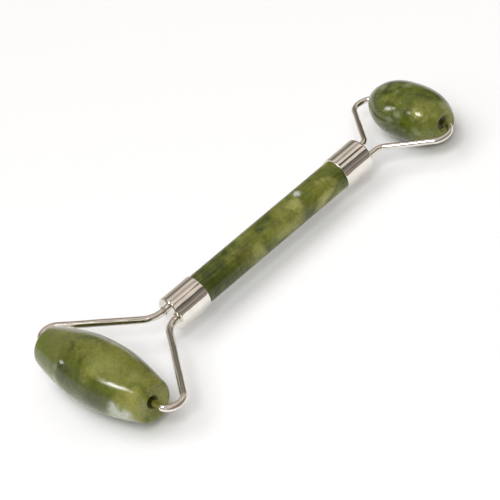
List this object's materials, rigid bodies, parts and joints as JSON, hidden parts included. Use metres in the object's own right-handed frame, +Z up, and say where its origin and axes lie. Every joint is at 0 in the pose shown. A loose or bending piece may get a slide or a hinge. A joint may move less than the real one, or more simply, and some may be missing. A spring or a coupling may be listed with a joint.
{
  "type": "jade face roller",
  "caption": "Hand-held face massage roller: a round stone grip with a metal ferrule and wire fork at each end, carrying a long barrel-shaped stone roller and a short oval one.",
  "frame": {"origin": "on the surface that both rollers rest on, under the middle of the object's length and width", "axes": "+Y along the handle towards the small roller, +X along both roller axes, +Z up away from the surface"},
  "size_m": [0.0636, 0.1442, 0.0196],
  "materials": {
    "handle_jade": "polished",
    "large_roller_jade": "polished",
    "small_roller_jade": "polished",
    "ferrule_metal": "polished",
    "wire_metal": "polished",
    "bush_nylon": "moulded",
    "epoxy_glue": "cured"
  },
  "bodies": {
    "handle": {"handle_stone": "handle_jade", "large_ferrule": "ferrule_metal", "small_ferrule": "ferrule_metal", "large_end_glue": "epoxy_glue", "small_end_glue": "epoxy_glue", "large_fork_left_wire": "wire_metal", "large_fork_right_wire": "wire_metal", "small_fork_left_wire": "wire_metal", "small_fork_right_wire": "wire_metal"},
    "large_roller": {"large_roller_stone": "large_roller_jade", "large_roller_left_bush": "bush_nylon", "large_roller_right_bush": "bush_nylon"},
    "small_roller": {"small_roller_stone": "small_roller_jade", "small_roller_left_bush": "bush_nylon", "small_roller_right_bush": "bush_nylon"}
  },
  "joints": [
    {"name": "large_roller_spin", "type": "hinge", "parent": "handle", "child": "large_roller", "pos_m": [0, -0.06235, 0.0098], "axis": [1, 0, 0], "continuous": true},
    {"name": "small_roller_spin", "type": "hinge", "parent": "handle", "child": "small_roller", "pos_m": [0, 0.06345, 0.0087], "axis": [1, 0, 0], "continuous": true}
  ]
}
